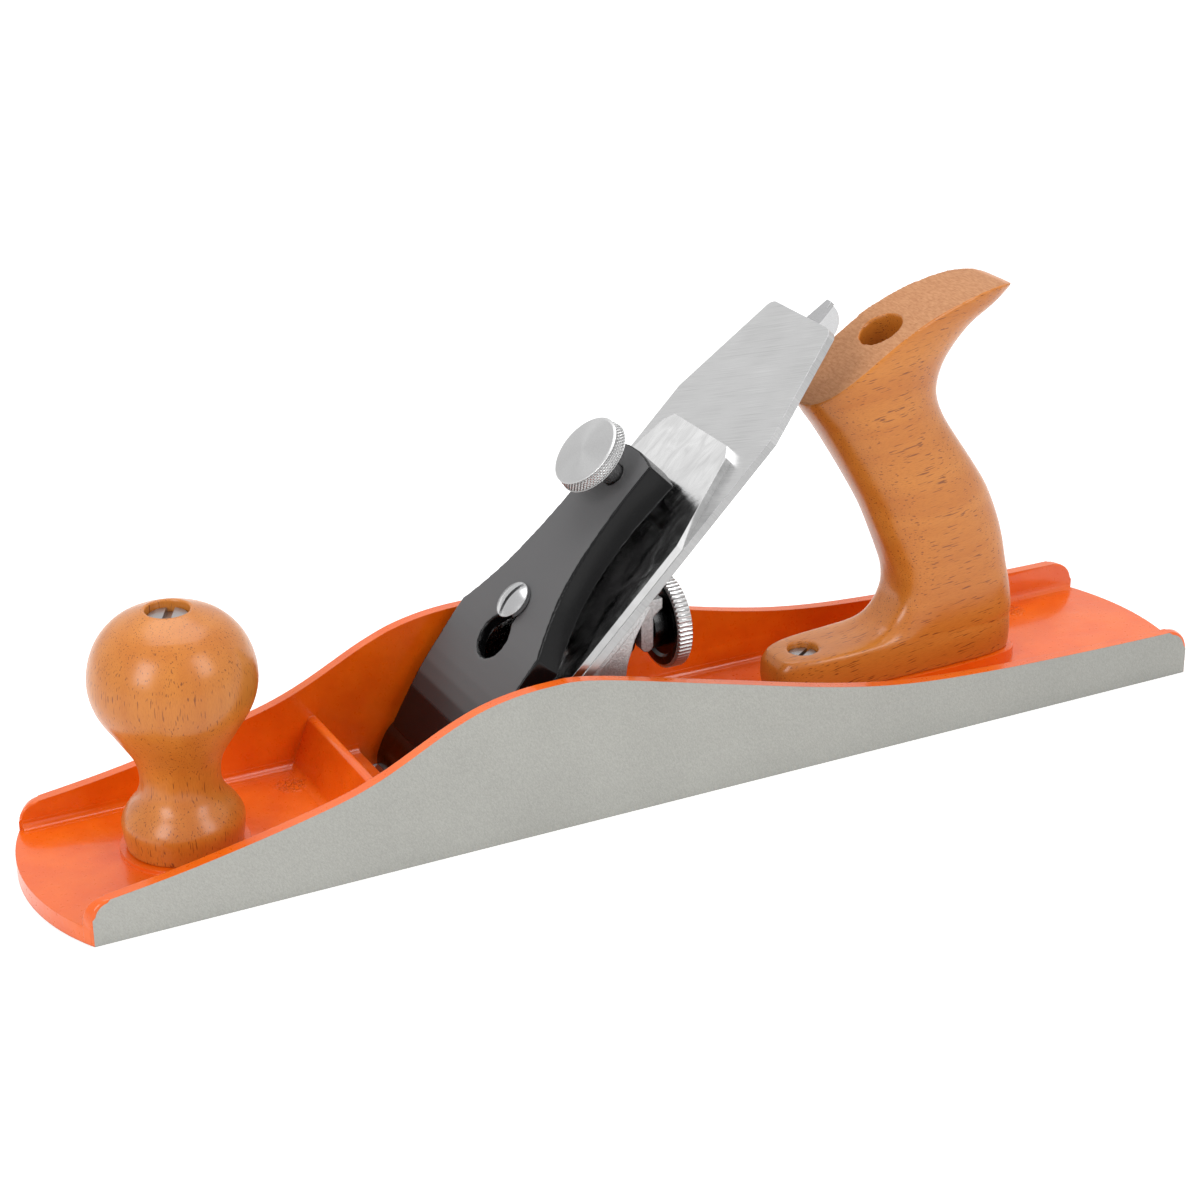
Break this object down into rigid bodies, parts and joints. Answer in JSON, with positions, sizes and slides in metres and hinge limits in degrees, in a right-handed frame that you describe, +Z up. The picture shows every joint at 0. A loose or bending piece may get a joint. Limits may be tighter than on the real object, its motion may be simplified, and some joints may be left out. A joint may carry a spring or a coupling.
{
  "type": "jack plane",
  "caption": "Metal bench plane with a long flat sole, wooden knob and tote, and an iron on a sloping frog with depth and side adjusters, clamped by a lever cap",
  "frame": {"origin": "on the sole, at the middle of its length and its width", "axes": "+X toward the heel along the length, +Y across the plane, +Z up from the sole"},
  "size_m": [0.356, 0.0626, 0.1252],
  "materials": {
    "body_casting": "gloss enamel inside, sole and cheeks ground bright",
    "frog": "silver paint over a sand-cast skin, bed machined",
    "frog_screws": "turned and oiled",
    "frog_screw_washers": "stamped",
    "frog_adjust_screw": "turned",
    "frog_adjust_plate": "stamped",
    "frog_plate_screw": "turned",
    "depth_yoke": "silver paint over a cast skin",
    "yoke_pin": "ground",
    "depth_stud": "threaded, oiled",
    "depth_spool": "dark, glossy",
    "depth_wheel": "bright, straight knurl",
    "lateral_lever": "bright plated strip",
    "lateral_roller": "turned",
    "lateral_rivet": "peened",
    "iron": "brushed with fine scratches",
    "cap_iron": "polished, slightly wavy",
    "cap_iron_screw": "turned",
    "lever_cap": "gloss black sides, satin dark grey face",
    "lever_cap_screw": "bright",
    "thumb_screw_shank": "threaded",
    "thumb_screw_head": "turned face, diamond knurl",
    "front_knob": "varnished beech",
    "front_knob_bolt": "plain rod",
    "front_knob_nut": "slotted",
    "tote": "varnished beech",
    "tote_bolt": "plain rod",
    "tote_nut": "slotted",
    "tote_toe_screw": "slotted"
  },
  "bodies": {
    "plane_body": {"body_casting": "body_casting", "front_knob": "front_knob", "front_knob_bolt": "front_knob_bolt", "front_knob_nut": "front_knob_nut", "tote": "tote", "tote_bolt": "tote_bolt", "tote_nut": "tote_nut", "tote_toe_screw": "tote_toe_screw", "frog_screws": "frog_screws", "frog_screw_washers": "frog_screw_washers"},
    "frog_group": {"frog": "frog", "frog_adjust_plate": "frog_adjust_plate", "frog_plate_screw": "frog_plate_screw", "yoke_pin": "yoke_pin", "depth_stud": "depth_stud", "lateral_rivet": "lateral_rivet", "lever_cap_screw": "lever_cap_screw"},
    "adjust_screw": {"frog_adjust_screw": "frog_adjust_screw"},
    "spool": {"depth_spool": "depth_spool"},
    "wheel": {"depth_wheel": "depth_wheel"},
    "yoke": {"depth_yoke": "depth_yoke"},
    "iron_carrier": {"cap_iron_screw": "cap_iron_screw"},
    "iron_set": {"iron": "iron", "cap_iron": "cap_iron"},
    "side_lever": {"lateral_lever": "lateral_lever", "lateral_roller": "lateral_roller"},
    "lever_cap_body": {"lever_cap": "lever_cap"},
    "thumb_shank": {"thumb_screw_shank": "thumb_screw_shank"},
    "thumb_head": {"thumb_screw_head": "thumb_screw_head"}
  },
  "joints": [
    {"name": "adjust_screw_turn", "type": "hinge", "parent": "frog_group", "child": "adjust_screw", "pos_m": [0, 0, 0.013], "axis": [1, 0, 0], "range_deg": [-458, 458]},
    {"name": "frog_slide", "type": "slide", "parent": "plane_body", "child": "frog_group", "axis": [1, 0, 0], "range_m": [-0.0012, 0.0012]},
    {"name": "depth_wheel_turn", "type": "hinge", "parent": "spool", "child": "wheel", "pos_m": [-0.0006, 0, 0.0396], "axis": [1, 0, 0], "range_deg": [-475, 326]},
    {"name": "spool_slide", "type": "slide", "parent": "frog_group", "child": "spool", "axis": [1, 0, 0], "range_m": [-0.00125, 0.00083]},
    {"name": "yoke_rock", "type": "hinge", "parent": "frog_group", "child": "yoke", "pos_m": [0.00134, 0, 0.05402], "axis": [0, 1, 0], "range_deg": [-3.6, 5.3]},
    {"name": "iron_depth", "type": "slide", "parent": "frog_group", "child": "iron_carrier", "axis": [0.7071, 0, 0.7071], "range_m": [-0.00087, 0.00128]},
    {"name": "side_lever_swing", "type": "hinge", "parent": "frog_group", "child": "side_lever", "pos_m": [0.0087, 0, 0.0792], "axis": [-0.7071, 0, 0.7071], "range_deg": [-8, 8]},
    {"name": "iron_tilt", "type": "hinge", "parent": "iron_carrier", "child": "iron_set", "pos_m": [-0.03797, 0, 0.03253], "axis": [-0.7071, 0, 0.7071], "range_deg": [-2.28, 2.28]},
    {"name": "lever_cap_release", "type": "slide", "parent": "frog_group", "child": "lever_cap_body", "axis": [0.7071, 0, 0.7071], "range_m": [0, 0.011]},
    {"name": "thumb_screw_turn", "type": "hinge", "parent": "thumb_shank", "child": "thumb_head", "pos_m": [0.00445, 0, 0.07495], "axis": [-0.7071, 0, 0.7071], "range_deg": [0, 767]},
    {"name": "thumb_shank_slide", "type": "slide", "parent": "lever_cap_body", "child": "thumb_shank", "axis": [-0.7071, 0, 0.7071], "range_m": [0, 0.002]}
  ],
  "couplings": [
    {"joint": "adjust_screw_turn", "follows": "frog_slide", "rad_per_m": 6283.4},
    {"joint": "depth_wheel_turn", "follows": "spool_slide", "rad_per_m": 6283.4},
    {"joint": "yoke_rock", "follows": "spool_slide", "rad_per_m": -69.35},
    {"joint": "iron_depth", "follows": "spool_slide", "ratio": -0.95702},
    {"joint": "iron_tilt", "follows": "side_lever_swing", "ratio": -0.26923},
    {"joint": "thumb_screw_turn", "follows": "thumb_shank_slide", "rad_per_m": 6283.4}
  ]
}
